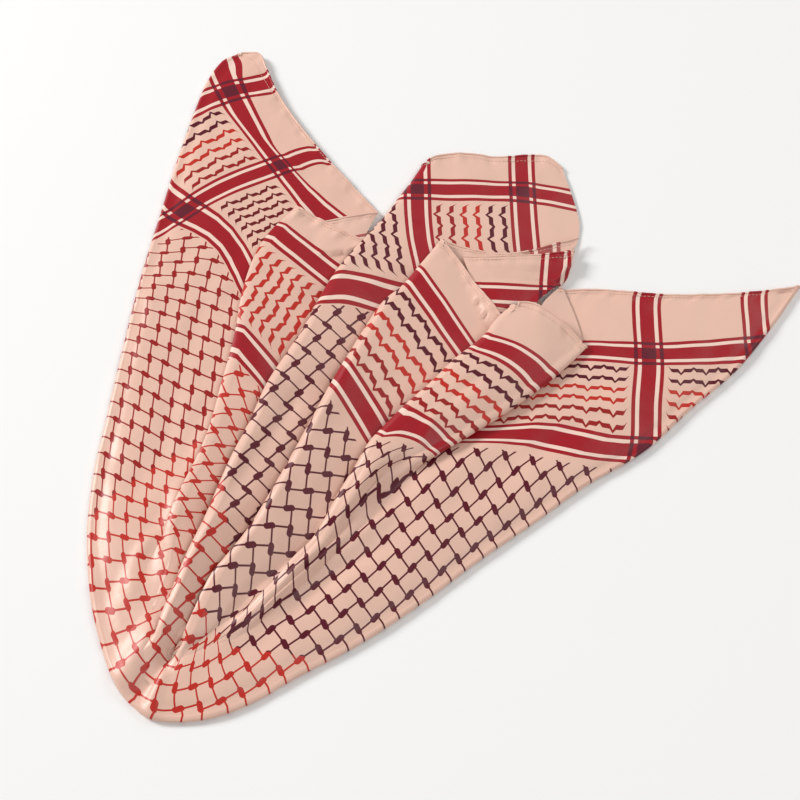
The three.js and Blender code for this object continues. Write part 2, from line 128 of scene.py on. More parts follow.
# Section tables, in mm. Columns: left edge x, y and crown height, right edge x, y and height, swell
# of the middle. BASE runs from the left tail's hem round the turned corner to the right tail's; the
# others run from the turned corner to their hem.
BASE = [
    (-67, 125, 3, -196, 304, 2, 1),
    (-69, 121, 3, -210, 295, 3, 2),
    (-72, 115, 3, -223, 268, 3, 2),
    (-80, 101, 4, -233, 226, 3, 2),
    (-96, 84, 4, -243, 177, 3, 3),
    (-124, 66, 4, -252, 124, 3, 3),
    (-156, 42, 5, -263, 58, 3, 3),
    (-173, -18, 6, -271, -9, 3, 3),
    (-184, -68, 7, -277, -67, 3, 3),
    (-188, -112, 8, -282, -115, 3, 3),
    (-193, -148, 9, -282, -164, 3, 3),
    (-195, -178, 9, -275, -212, 3, 2),
    (-193, -196, 9, -264, -249, 3, 2),
    (-189, -207, 9, -250, -281, 3, 2),
    (-185, -213, 9, -234, -299, 3, 2),
    (-182, -215, 9, -217, -308, 3, 2),
    (-178, -214, 9, -184, -307, 3, 2),
    (-173, -211, 9, -153, -296, 3, 2),
    (-165, -206, 9, -119, -276, 3, 3),
    (-148, -199, 9, -77, -253, 3, 4),
    (-124, -180, 9, -33, -223, 3, 4),
    (-98, -150, 9, 11, -189, 3, 4),
    (-68, -120, 9, 57, -156, 3, 4),
    (-33, -97, 8, 93, -129, 3, 4),
    (6, -80, 8, 141, -99, 3, 3),
    (34, -48, 7, 182, -61, 3, 3),
    (50, -18, 6, 219, -29, 3, 2),
    (62, 16, 5, 252, 10, 3, 2),
    (84, 46, 4, 282, 51, 2, 1),
]
INNER_LEFT_PLEAT = [
    (-248, -271, 5, -236, -268, 5, 0),
    (-243, -240, 11, -214, -240, 9, 1),
    (-236, -205, 15, -199, -202, 10, 2),
    (-227, -174, 16, -188, -168, 11, 2),
    (-213, -136, 16, -174, -134, 11, 2),
    (-197, -91, 15, -160, -94, 10, 2),
    (-189, -47, 14, -146, -54, 9, 2),
    (-181, 0, 13, -129, -14, 8, 2),
    (-176, 48, 12, -106, 30, 8, 2),
    (-163, 92, 11, -86, 71, 7, 2),
    (-137, 128, 9, -66, 88, 7, 1),
]
MIDDLE_PLEAT = [
    (-240, -269, 6, -217, -288, 5, 0),
    (-232, -256, 12, -212, -275, 7, 1),
    (-223, -243, 16, -204, -259, 9, 1),
    (-214, -219, 19, -190, -237, 10, 2),
    (-204, -189, 21, -177, -208, 11, 2),
    (-192, -158, 22, -155, -176, 12, 2),
    (-177, -113, 22, -136, -138, 12, 2),
    (-164, -80, 21, -119, -105, 12, 2),
    (-151, -43, 20, -104, -69, 11, 2),
    (-129, 0, 18, -82, -28, 10, 2),
    (-102, 60, 15, -44, 30, 8, 2),
    (-77, 95, 13, 4, 62, 6, 2),
    (-62, 118, 12, 47, 64, 5, 2),
    (-48, 141, 11, 87, 76, 4, 2),
    (-38, 158, 9, 104, 112, 3, 2),
    (-29, 175, 7, 93, 173, 4, 1),
]
RIGHT_PLEAT = [
    (-217, -284, 6, -205, -274, 6, 0),
    (-213, -266, 11, -189, -261, 8, 1),
    (-204, -252, 14, -175, -249, 10, 1),
    (-198, -237, 16, -162, -238, 10, 2),
    (-186, -207, 20, -143, -220, 11, 2),
    (-172, -187, 22, -122, -198, 12, 2),
    (-158, -166, 23, -104, -174, 12, 2),
    (-138, -126, 23, -85, -141, 12, 2),
    (-122, -91, 22, -69, -111, 12, 2),
    (-102, -46, 21, -48, -85, 12, 2),
    (-86, -14, 20, -29, -63, 12, 2),
    (-64, 27, 19, -5, -41, 12, 2),
    (-47, 45, 18, 13, -23, 12, 2),
    (-32, 66, 17, 26, -6, 12, 2),
    (-14, 91, 15, 34, 15, 13, 1),
]
FRONT_PLEAT = [
    (-207, -265, 7, -205, -271, 7, 0),
    (-190, -252, 12, -186, -264, 11, 0),
    (-173, -238, 15, -169, -256, 13, 1),
    (-156, -225, 16, -152, -245, 14, 1),
    (-139, -208, 17, -134, -229, 15, 1),
    (-125, -190, 18, -110, -209, 15, 2),
    (-113, -177, 19, -96, -193, 16, 2),
    (-103, -159, 20, -80, -176, 16, 2),
    (-93, -138, 21, -67, -159, 17, 2),
    (-83, -120, 22, -50, -136, 17, 3),
    (-72, -99, 23, -31, -119, 17, 3),
    (-59, -83, 23, -11, -103, 17, 3),
    (-43, -65, 23, 9, -89, 17, 3),
    (-24, -46, 23, 31, -74, 17, 3),
    (-7, -27, 23, 52, -58, 17, 3),
    (16, -6, 22, 73, -40, 16, 3),
    (29, 11, 21, 88, -25, 14, 3),
    (41, 24, 20, 101, -11, 11, 3),
]
LEFT_RETURN = [
    (-112, 86, 8, -80, 92, 7, 0),
    (-112, 98, 8, -74, 107, 7, 1),
    (-111, 113, 8, -67, 123, 6, 1),
]
CORNER_RETURN = [
    (-2, 58, 9, 76, 58, 8, 0),
    (-8, 69, 9, 86, 70, 8, 1),
    (-14, 93, 9, 102, 97, 7, 1),
]
CORNER_FLAP = [
    (30, 12, 13, 58, 18, 5, 0),
    (22, 30, 13, 65, 34, 5, 1),
    (14, 46, 13, 79, 47, 5, 1),
    (8, 60, 13, 91, 60, 6, 2),
    (4, 75, 12, 97, 82, 9, 1),
]
TAIL_RETURN = [
    (72, 0, 8, 99, -13, 8, 0),
    (66, 20, 8, 97, 5, 8, 0),
    (69, 33, 8, 93, 24, 7, 0),
    (82, 47, 7, 86, 47, 6, 0),
]

# Folds that run on over several stretches. Columns: start x, y, end x, y, sideways bow, width and
# height, in mm; a height below nothing is a trough.
CREASES = [
    (-224, -236, -251, -287, 3, 9, 5.0),
    (-213, -262, -234, -293, 2, 5, -3.0),
    (-203, -250, -218, -271, 0, 5, -4.0),
    (-213, -270, -223, -306, -2, 4, 3.0),
    (-230, -168, -246, -224, -4, 8, 4.0),
    (-222, -138, -262, -224, 6, 9, -2.5),
    (-226, -50, -248, -146, 5, 12, -2.0),
    (-206, 40, -238, -60, 4, 12, -1.6),
    (-252, 60, -268, -60, 3, 9, 1.4),
    (-52, -152, -152, -246, -6, 9, 3.0),
    (-60, -180, -160, -262, -6, 8, -2.2),
    (40, -84, -40, -150, -5, 12, 1.8),
    (110, -70, 10, -140, -4, 10, -1.6),
    (-192, -60, -232, -180, 3, 7, 1.6),
    (-120, -40, -190, -160, 4, 8, -1.8),
    (-60, 20, -120, -90, 5, 9, 1.5),
    (-30, -90, -110, -190, 4, 6, -2.0),
    (-10, -60, -90, -160, 5, 6, 1.6),
    (20, -40, -50, -110, -4, 7, -1.6),
]

# Plan shape of the hems that are not straight, left to right, x and y in mm.
LEFT_TAIL_HEM = [
    (-67, 125), (-92, 157), (-118, 191), (-142, 227), (-159, 258), (-169, 284), (-177, 302),
    (-196, 304),
]
INNER_LEFT_HEM = [(-137, 128), (-120, 118), (-103, 107), (-80, 94), (-66, 88)]
TOP_CORNER_HEM = [(-29, 175), (-13, 184), (13, 186), (39, 183), (64, 186), (80, 185), (93, 173)]
CORNER_RETURN_HEM = [(-14, 93), (18, 82), (43, 80), (68, 85), (85, 91), (102, 97)]
CORNER_FLAP_HEM = [(4, 75), (22, 74), (47, 76), (65, 77), (97, 82)]
RIGHT_HEM = [(-14, 91), (0, 70), (12, 49), (26, 28), (34, 15)]
FRONT_HEM = [(41, 24), (56, 25), (73, 16), (87, 4), (101, -11)]
RIGHT_TAIL_HEM = [(84, 46), (116, 47), (165, 42), (215, 42), (256, 46), (282, 51)]
LEFT_RETURN_HEM = [(-111, 113), (-67, 123)]
TAIL_RETURN_HEM = [(82, 47), (86, 47)]

# Where the print lies. Columns: x, y in mm, then the distances u and v from the two hems that meet
# at the top corner, in cm; None where only the other is known.
BASE_PRINT = [
    (-201, 258, 84.8, 5.2), (-151, 172, 75, 5.2), (-232, 123, 75, 15), (-175, 65, None, 15),
    (-211, 114, None, 15), (-195, 102, None, 15), (-183, 83, None, 15), (-125, 129, None, 5.2),
    (-94, 88, None, 5.2), (-67, 125, None, 1.0),
    (-141, 233, None, 1.0), (-251, 111, 75, None), (-212, -69, 55.8, 25.6), (-261, -48, 60.1, 29.9),
    (-165, 267, 84.8, None), (-117, 190, 75, None),
    (-218, -113, 52.5, 28.8), (-270, -108, 55.8, 34.2), (-272, -157, 52.5, 37.5),
    (-236, -190, 47.1, 36.4),
    (-191, 52, 64.4, 16.95), (-237, 100, 73.05, 16.95), (-248, 35, 66.6, 23.4),
    (-200, 69, 66.56, 16.95), (-211, 85, 68.72, 16.95), (-223, 96, 70.88, 16.95),
    (-250, -281, 46.0, 44.0), (-218, -308, 44.2, 45.8), (-153, -296, 39.8, 50.2),
    (-77, -253, 33.8, 56.2), (11, -189, 26.0, 64.0), (93, -129, 18.7, 71.3),
    (150, -16, 5.2, 75), (248, -9, 5.2, 84.8), (102, -11, 5.2, None), (192, -14, 5.2, None),
    (14, -90, 15, None), (60, -85, 15, None), (106, -101, 15, None), (141, -98, 15, 75),
    (155, 38, None, 75), (146, -55, None, 75),
]
INNER_LEFT_PRINT = [
    (-161, 108, None, 5.2), (-131, 85, None, 5.2), (-101, 58, None, 5.2), (-180, -1, None, 15),
    (-159, -26, None, 15), (-139, -55, None, 15), (-137, 128, 55, 0.8), (-80, 94, None, 0.8),
]
MIDDLE_PRINT = [
    (-33, 145, 15, 5.2), (-33, 118, 15, None), (-31, 92, 15, None), (57, 149, 5.2, 5.2),
    (57, 110, 5.2, None), (-116, 40, None, 15), (-90, 47, None, 15), (-58, 37, None, 15),
    (12, 147, None, 5.2), (39, 183, None, 0), (104, 149, 0, None),
]
RIGHT_PLEAT_PRINT = [
    (-13, 91, 0, 37), (27, 19, 0, None), (-41, 60, 5.2, None), (7, -13, 5.2, None),
    (-16, 25, 5.2, None), (-99, -33, 15, None), (-65, -90, 15, None), (-81, -61, 15, None),
]
FRONT_PLEAT_PRINT = [
    (11, -11, 5.2, None), (38, -20, 5.2, None), (58, -34, 5.2, None), (63, -45, 5.2, None),
    (-64, -87, 15, None), (-43, -81, 15, None), (-24, -95, 15, None), (-15, -105, 15, None),
    (40, 21, 0, 52), (74, 16, 0, None), (100, -10, 0, None),
]
LEFT_RETURN_PRINT = [(-87, 98, 66, 4.2), (-67, 123, 68, 0.3), (-109, 114, 64, 0.3)]
CORNER_RETURN_PRINT = [(75, 89, 0.8, 5.2), (102, 97, 0.1, 2.6), (-14, 93, 0.1, 14)]
CORNER_FLAP_PRINT = [(80, 62, 1.8, 5.2), (33, 37, 5.2, None), (66, 41, 5.2, None), (4, 75, 0.1, 13)]
TAIL_RETURN_PRINT = [(86, 46, 0.1, 66), (103, -7, 0.2, 60)]


def catmull(a, b, c, d, t):
    cubic = -a + 3 * b - 3 * c + d
    square = 2 * a - 5 * b + 4 * c - d
    return 0.5 * (2 * b + (c - a) * t + square * t * t + cubic * t ** 3)


def sample_rows(rows, t):
    last = len(rows) - 1
    at = min(int(math.floor(t)), last - 1)
    pick = lambda i: np.array(rows[max(0, min(last, i))], float)
    return catmull(pick(at - 1), pick(at), pick(at + 1), pick(at + 2), t - at)


def sample_path(path, s):
    points = np.array(path, float)
    lengths = np.concatenate([[0], np.cumsum(np.linalg.norm(np.diff(points, axis=0), axis=1))])
    target = s * lengths[-1]
    i = min(int(np.searchsorted(lengths, target, side="right")) - 1, len(points) - 2)
    return sample_rows(path, i + (target - lengths[i]) / (lengths[i + 1] - lengths[i]))


class HeightProbe:
    """Highest cloth so far on a fine grid, so that each stretch rests on what is under it."""

    def __init__(self):
        self.side = int(2 * PROBE_HALF_MM / PROBE_MM) + 1
        self.top = np.zeros((self.side, self.side))
        self.spread = self.top.copy()
        self.eased = self.top.copy()

    def index(self, value):
        place = np.round((np.asarray(value) + PROBE_HALF_MM) / PROBE_MM).astype(int)
        return np.clip(place, 0, self.side - 1)

    def record(self, grid):
        fine = grid
        for axis in (0, 1):
            first = np.take(fine, range(fine.shape[axis] - 1), axis)
            second = np.take(fine, range(1, fine.shape[axis]), axis)
            fine = np.concatenate([first, (first + second) / 2, second], axis)
        flat = fine.reshape(-1, 3)
        np.maximum.at(self.top, (self.index(flat[:, 1]), self.index(flat[:, 0])), flat[:, 2])
        self.spread = self.windowed(self.top, np.max)
        self.eased = self.top
        for _ in range(3):
            self.eased = self.windowed(self.eased, np.mean)

    def windowed(self, field, action):
        padded = np.pad(field, PROBE_REACH)
        shifts = range(2 * PROBE_REACH + 1)
        layers = [padded[j:j + self.side, i:i + self.side] for j in shifts for i in shifts]
        return action(layers, axis=0)

    def under(self, x, y):
        return self.spread[self.index(y), self.index(x)]

    def soft(self, x, y):
        """Height of what is below, smoothed, for places where one stretch runs into another."""
        column = np.clip((np.asarray(x, float) + PROBE_HALF_MM) / PROBE_MM, 0, self.side - 2)
        row = np.clip((np.asarray(y, float) + PROBE_HALF_MM) / PROBE_MM, 0, self.side - 2)
        i, j = column.astype(int), row.astype(int)
        fx, fy = column - i, row - j
        low_side = self.eased[j, i] * (1 - fx) + self.eased[j, i + 1] * fx
        high_side = self.eased[j + 1, i] * (1 - fx) + self.eased[j + 1, i + 1] * fx
        return low_side * (1 - fy) + high_side * fy


def smooth(share):
    share = np.clip(share, 0, 1)
    return share * share * (3 - 2 * share)


def eased_between(t, full, gone):
    """1 up to the row `full`, then down to nothing at the row `gone`."""
    return 1 - smooth((t - full) / (gone - full))


def stations(rows, fine_start, fine_end):
    """Places along a stretch, closer together near its hems."""
    last = len(rows) - 1
    table = np.array(rows, float)
    middle = (table[:, 0:2] + table[:, 3:5]) / 2
    left = np.linalg.norm(np.diff(table[:, 0:2], axis=0), axis=1)
    right = np.linalg.norm(np.diff(table[:, 3:5], axis=0), axis=1)
    sides = np.maximum(left, right) * SIDE_LENGTH_SHARE
    lengths = np.maximum(np.linalg.norm(np.diff(middle, axis=0), axis=1), sides)
    places = []
    for i in range(last):
        count = max(2, int(round(lengths[i] / STEP_ALONG_MM)))
        places += [i + k / count for k in range(count)]
    steps = int(HEM_FINE_MM / HEM_STEP_MM)
    if fine_start:
        stop = min(0.5, HEM_FINE_MM / lengths[0])
        places = list(np.linspace(0, stop, steps)) + [p for p in places if p > stop]
    if fine_end:
        start = last - min(0.5, HEM_FINE_MM / lengths[-1])
        places = [p for p in places if p < start]
        places += list(np.linspace(start, last, steps))[:-1]
    return places + [last]


def section(stretch, t, probe, count):
    """Points across one stretch, from its left edge to its right, rolls included; how many of them
    belong to the roll at each end; and how far each runs into the cloth at its left and right."""
    rows, kinds, hems = stretch.rows, stretch.kinds, stretch.hems
    last = len(rows) - 1
    lx, ly, lz, rx, ry, rz, swell = sample_rows(rows, t)
    edge_l, edge_r = np.array([lx, ly]), np.array([rx, ry])
    width = np.linalg.norm(edge_r - edge_l)
    inward = (edge_r - edge_l) / width
    ends = [(max(0.0, 1 - t), rows[0], hems[0]), (max(0.0, t - last + 1), rows[-1], hems[1])]
    merges = [eased_between(t, *merge) if merge else 0.0 for merge in stretch.merges]
    spread = min(MERGE_MM, width * MERGE_WIDTH_SHARE)

    def plan(s):
        here = edge_l + (edge_r - edge_l) * s
        for weight, row, hem in ends:
            if hem and weight > 0:
                straight = np.array(row[0:2]) * (1 - s) + np.array(row[3:5]) * s
                here = here + weight * (sample_path(hem, s) - straight)
        return here

    def rest(p):
        return probe.under(p[0], p[1]) + GAP_MM + SHEET_MM / 2

    def roll(side, kind, high_z, merge):
        sign = 1 if side == "left" else -1
        limit = FLOOR_ROLL_MM if kind == "floor" else ROLL_MM
        reach = min(limit, width * ROLL_WIDTH_SHARE)
        base = plan(0.0 if side == "left" else 1.0)
        low_z = SHEET_MM / 2 if kind == "floor" else rest(base + sign * inward * 2)
        crown = max(high_z + (RIM_RISE_MM if kind == "floor" else 0), low_z + LEAST_ROLL_MM)
        sunk = probe.soft(base[0], base[1]) - SUNK_MM
        rise = (crown - low_z) / 2
        points = []
        for part in np.linspace(0, 1, ROLL_POINTS):
            angle = ROLL_START + ROLL_TURN * part
            inset = reach * (1 - math.cos(angle))
            inset += merge * (spread * part - inset)
            z = low_z + rise * (1 + math.sin(angle))
            z += merge * (sunk + (crown - sunk) * smooth(part) - z)
            place = base + sign * inward * inset
            joined = merge * (1 - smooth(part))
            weights = (joined, 0.0) if side == "left" else (0.0, joined)
            points.append((place[0], place[1], z) + weights)
        if kind == "floor":
            for k, turn in enumerate((UNDER_TURN_MM, UNDER_TURN_MM / 2)):
                place = base + sign * inward * min(turn, width * UNDER_WIDTH_SHARE)
                points.insert(k, (place[0], place[1], low_z, 0.0, 0.0))
        return points, crown, reach + merge * (spread - reach)

    points, closing = [], []
    left_z, right_z, start, stop = lz, rz, 0.0, 1.0
    if kinds[0] != "plain":
        points, left_z, reach = roll("left", kinds[0], lz, merges[0])
        start = reach / width
    if kinds[1] != "plain":
        closing, right_z, reach = roll("right", kinds[1], rz, merges[1])
        closing = closing[::-1]
        stop = 1 - reach / width
    for part in np.linspace(0, 1, count):
        share = start + (stop - start) * part
        place = plan(share)
        if kinds == ("ridge", "plain"):
            low_end = max(right_z - VALLEY_MM, LOWEST_VALLEY_MM)
            fall = (1 - part) ** VALLEY_POWER
            z = low_end + (left_z - low_end) * fall + swell * math.sin(math.pi * part)
        elif kinds[1] == "floor":
            rise = math.sin(math.pi * (1 - part) ** FLOOR_SWELL_POWER)
            z = left_z + (right_z - left_z) * part + swell * rise
            from_trough = ((1 - share) * width - RIM_TROUGH_IN_MM) / RIM_TROUGH_WIDE_MM
            z -= RIM_TROUGH_MM * math.exp(-from_trough ** 2)
        else:
            z = left_z + (right_z - left_z) * part + swell * math.sin(math.pi * part)
        z = max(z, rest(place))
        sinking = smooth((part - MERGE_FROM) / (1 - MERGE_FROM))
        below = merges[1] * sinking if kinds[1] == "plain" else 0.0
        z += below * (probe.soft(place[0], place[1]) - SUNK_MM - z)
        points.append((place[0], place[1], z, 0.0, below))
    line = np.array(points + closing)
    return line[:, :3], len(points) - count, len(closing), line[:, 3:]


def turned_print(grid, first, closing, along_u, mirror, origin, start):
    """Cloth coordinates in cm as if the stretch were cloth laid flat, turned so that u grows along
    along_u. The rolls at its sides carry on by their length."""
    direction = np.array(along_u, float) / np.linalg.norm(along_u)
    turn = -1 if mirror else 1
    across = turn * np.array([-direction[1], direction[0]])
    axes = np.stack([direction, across], axis=1) / MM_PER_CM
    uv = np.array(start) + (grid[:, :, :2] - origin) @ axes
    last = grid.shape[1] - 1
    for edge, inner, ids in (
        (first, first + 1, range(first - 1, -1, -1)),
        (last - closing, last - closing - 1, range(last - closing + 1, last + 1)),
    ):
        way = uv[:, edge] - uv[:, inner]
        way = way / np.maximum(np.linalg.norm(way, axis=1, keepdims=True), NUDGE)
        for k in ids:
            before = k + 1 if k < edge else k - 1
            step = np.linalg.norm(grid[:, k] - grid[:, before], axis=1, keepdims=True)
            uv[:, k] = uv[:, before] + way * step / MM_PER_CM
    return uv


def fold_print(grid, closing):
    """Cloth coordinates in cm of the base sheet: the length along its outer fold is a length along
    the cloth's diagonal, and the way in from the fold is a way in from the diagonal."""
    edge = grid.shape[1] - max(closing - FOLD_COLUMN, 1)
    fold = grid[:, edge]
    step = np.linalg.norm(np.diff(fold[:, :2], axis=0), axis=1)
    run = np.concatenate([[0], np.cumsum(step)])
    near = [np.clip(run + shift, 0, run[-1]) for shift in (-TANGENT_SPAN_MM, TANGENT_SPAN_MM)]
    ends = [np.stack([np.interp(at, run, fold[:, k]) for k in (0, 1)], axis=1) for at in near]
    tangent = ends[1] - ends[0]
    tangent /= np.linalg.norm(tangent, axis=1, keepdims=True)
    run = run * SQUARE_CM * math.sqrt(2) / run[-1]
    inward = grid[:, 0, :2] - fold[:, :2]
    inward /= np.linalg.norm(inward, axis=1, keepdims=True)
    lengths = np.linalg.norm(np.diff(grid, axis=1), axis=2) / MM_PER_CM
    ahead = (tangent * inward).sum(axis=1)
    sine = np.sqrt(1 - ahead ** 2)
    half = math.sqrt(0.5)
    past = np.linspace(FOLD_PAST_CM[0], FOLD_PAST_CM[1], len(run))
    uv = np.zeros(grid.shape[:2] + (2,))
    for i in range(grid.shape[1]):
        way = lengths[:, i:edge].sum(axis=1) if i < edge else -lengths[:, edge:i].sum(axis=1)
        along, deep = run + ahead * way, sine * way - past
        uv[:, i, 0] = SQUARE_CM - (along + deep) * half
        uv[:, i, 1] = (along - deep) * half
    return uv


def print_springs(ids, flat):
    """Lines of a least-squares sum that keep a correction of the print smooth: it bends little over
    three points in a row, and changes little between two. Their places `flat` are in cm."""
    triples = [(ids[:-2], ids[1:-1], ids[2:]), (ids[:, :-2], ids[:, 1:-1], ids[:, 2:])]
    a, b, c = (np.concatenate([t[k].ravel() for t in triples]) for k in range(3))
    first = np.maximum(np.linalg.norm(flat[b] - flat[a], axis=1), LEAST_STEP_CM)
    second = np.maximum(np.linalg.norm(flat[c] - flat[b], axis=1), LEAST_STEP_CM)
    size = STIFFNESS * np.sqrt((first + second) / 2)
    bend = np.zeros((len(a), ids.size))
    line = np.arange(len(a))
    bend[line, a] = size / first
    bend[line, b] = -size * (1 / first + 1 / second)
    bend[line, c] = size / second
    ties = [(ids[:-1], ids[1:]), (ids[:, :-1], ids[:, 1:])]
    a, b = (np.concatenate([t[k].ravel() for t in ties]) for k in range(2))
    apart = np.sqrt(np.maximum(np.linalg.norm(flat[b] - flat[a], axis=1), LEAST_STEP_CM))
    pull = np.zeros((len(a), ids.size))
    line = np.arange(len(a))
    pull[line, a] = -TENSION / apart
    pull[line, b] = TENSION / apart
    return np.concatenate([bend, pull])


def carried_print(flat, uv, j, i, points):
    """The print at places in plan, carried on from the grid points j, i near them."""
    basis = np.stack([np.gradient(flat, axis=0)[j, i], np.gradient(flat, axis=1)[j, i]], axis=2)
    basis = basis + np.eye(2) * NUDGE
    part = np.linalg.solve(basis, (points - flat[j, i])[:, :, None])
    part = np.clip(part, -CARRY_STEPS, CARRY_STEPS)
    slopes = np.stack([np.gradient(uv, axis=0)[j, i], np.gradient(uv, axis=1)[j, i]], axis=2)
    return uv[j, i] + (slopes @ part)[:, :, 0]


def settle_print(grid, uv, top, anchors):
    """The print moved by a smooth correction, worked out on a coarse grid, to meet the anchors."""
    n, m = grid.shape[:2]
    rows = np.unique(np.round(np.linspace(0, n - 1, min(n, SETTLE_ROWS))).astype(int))
    columns = np.unique(np.round(np.linspace(top.start, top.stop - 1, SETTLE_COLUMNS)).astype(int))
    ids = np.arange(len(rows) * len(columns)).reshape(len(rows), len(columns))
    springs = print_springs(ids, grid[np.ix_(rows, columns)].reshape(-1, 3)[:, :2] / MM_PER_CM)

    near = slice(max(0, top.start - ROLL_SEEN), min(m, top.stop + ROLL_SEEN))
    places = np.array([anchor[:2] for anchor in anchors], float)
    nearest = [np.argmin(np.linalg.norm(grid[:, near, :2] - place, axis=2)) for place in places]
    j, i = np.unravel_index(nearest, (n, near.stop - near.start))
    i = i + near.start
    found = carried_print(grid[:, :, :2], uv, j, i, places)

    row_of = np.interp(np.arange(n), rows, np.arange(len(rows)))
    column_of = np.interp(np.arange(m), columns, np.arange(len(columns)))
    moved = uv.copy()
    for axis in (0, 1):
        lines, target = [springs], [np.zeros(len(springs))]
        for k, (_, _, *values) in enumerate(anchors):
            if values[axis] is None:
                continue
            line = np.zeros((1, ids.size))
            row, column = row_of[j[k]], column_of[i[k]]
            j0, i0 = min(int(row), len(rows) - 2), min(int(column), len(columns) - 2)
            for dj, share_j in enumerate((1 - (row - j0), row - j0)):
                for di, share_i in enumerate((1 - (column - i0), column - i0)):
                    line[0, ids[j0 + dj, i0 + di]] = share_j * share_i
            lines.append(line)
            target.append([values[axis] - found[k, axis]])
        matrix, goal = np.concatenate(lines), np.concatenate(target)
        still = np.eye(ids.size) * NUDGE
        field = np.linalg.solve(matrix.T @ matrix + still, matrix.T @ goal).reshape(ids.shape)
        wide = np.array([np.interp(column_of, np.arange(len(columns)), line) for line in field])
        wide = np.pad(wide, ((1, 2), (0, 0)), mode="edge")
        moved[:, :, axis] += [catmull(*wide[int(p):int(p) + 4], p - int(p)) for p in row_of]
    return moved


def crease_heights(grid, creases):
    """Lift of the soft troughs and ridges, in mm."""
    lift = np.zeros(grid.shape[:2])
    for x1, y1, x2, y2, bow, width, height in creases:
        start, end = np.array([x1, y1], float), np.array([x2, y2], float)
        length = np.linalg.norm(end - start)
        along = (end - start) / length
        side = np.array([-along[1], along[0]])
        offset = grid[:, :, :2] - start
        t = offset @ along / length
        line = bow * 4 * t * (1 - t)
        distance = offset @ side - line
        inside = np.clip(t, 0, 1)
        fade = smooth(np.minimum(t + CREASE_PAST, 1 + CREASE_PAST - t) / CREASE_FADE)
        spread = width * (CREASE_START_WIDTH + CREASE_WIDENS * inside)
        lift += height * fade * np.exp(-(distance / spread) ** 2)
    return lift


def undulation(grid):
    """Slight unevenness of cloth that lies loosely, in mm: wavy sums with no plain repeat."""
    x, y = grid[:, :, 0], grid[:, :, 1]
    slow = np.sin(x / 9.1 + 1.7 * np.sin(y / 17.0))
    slow *= np.sin(y / 12.3 + 1.3 * np.sin(x / 21.0) + 0.6)
    fast = np.sin((x + 0.6 * y) / 4.3 + np.sin(y / 9.0)) * np.sin((y - 0.4 * x) / 5.7 + 1.1)
    return SLOW_UNEVEN_MM * slow + FAST_UNEVEN_MM * fast


def grid_normals(grid):
    along = np.gradient(grid, axis=0)
    across = np.gradient(grid, axis=1)
    normal = np.cross(across, along)
    return normal / np.maximum(np.linalg.norm(normal, axis=2, keepdims=True), TINY)


def hem_profile(distance, run, seed, pucker):
    """Height of the turned hem, its stitch groove and its puckers. Both in mm from and along it."""
    inside = distance - HEM_FOLD_MM
    fold = HEM_DOUBLE_MM * np.clip(0.5 - inside / 0.8, 0, 1)
    groove = -GROOVE_MM * np.exp(-((inside + STITCH_IN_MM) / GROOVE_WIDE_MM) ** 2)
    wave = np.sin(run / 3.1 + seed) + 0.7 * np.sin(run / 1.7 + 2.1 * seed) + 0.8 * np.sin(run / 6.3)
    return fold + groove + PUCKER_MM * pucker * wave * np.exp(-(inside / PUCKER_WIDE_MM) ** 2)


